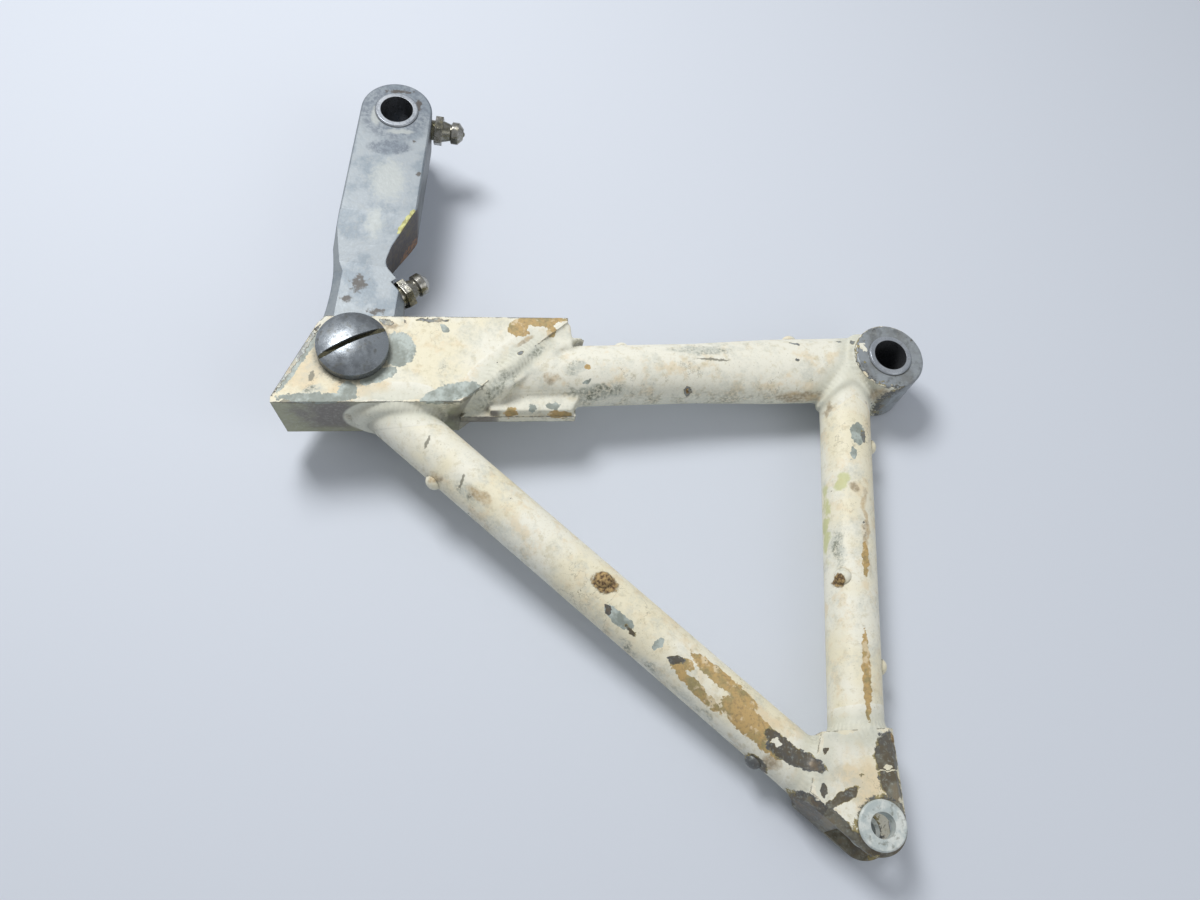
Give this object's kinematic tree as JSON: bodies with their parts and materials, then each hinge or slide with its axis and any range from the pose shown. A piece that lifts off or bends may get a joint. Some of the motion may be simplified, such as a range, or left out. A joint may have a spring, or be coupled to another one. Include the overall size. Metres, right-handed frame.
{
  "type": "landing gear retract truss",
  "caption": "Welded steel-tube truss with a bushed pivot boss, a forked clevis and a slotted fitting whose headed pin carries a swinging link arm.",
  "frame": {"origin": "middle of the pivot boss's bore, at the truss's mid-plane", "axes": "+Z along the bores towards the link pin's head, +X along the upper tube from the link pin to the pivot bore, +Y away from the clevis"},
  "size_m": [0.1835, 0.2293, 0.0328],
  "materials": {
    "paint": "chipped cream paint over steel",
    "weld_paint": "painted weld bead",
    "bush_steel": "bright machined",
    "plated_steel": "dull yellow plating",
    "dark_steel": "dark oxide",
    "link_metal": "worn matt"
  },
  "bodies": {
    "truss": {"link_fitting": "paint", "upper_tube": "paint", "diagonal_tube": "paint", "cross_tube": "paint", "pivot_boss": "paint", "pivot_bush": "bush_steel", "clevis_fitting": "paint", "clevis_upper_bush": "plated_steel", "clevis_lower_bush": "plated_steel", "scarf_weld": "weld_paint", "diagonal_tube_weld": "weld_paint", "boss_weld": "weld_paint", "cross_tube_weld": "weld_paint", "clevis_cross_weld": "weld_paint", "clevis_diagonal_weld": "weld_paint", "upper_tube_plugs": "paint", "diagonal_tube_plugs": "paint", "cross_tube_plugs": "paint", "link_pin": "dark_steel", "link_pin_washer": "dark_steel", "link_pin_nut": "dark_steel", "link_pin_cotter": "dark_steel"},
    "link": {"link_arm": "link_metal", "link_outer_bush": "bush_steel", "link_inner_bush": "bush_steel", "outer_grease_fitting": "plated_steel", "inner_grease_fitting": "plated_steel", "outer_grease_ball": "bush_steel", "inner_grease_ball": "bush_steel"}
  },
  "joints": [
    {"name": "link_swing", "type": "hinge", "parent": "truss", "child": "link", "pos_m": [-0.1524, 0.002, 0], "axis": [0, 0, 1], "range_deg": [-50, 90]}
  ]
}
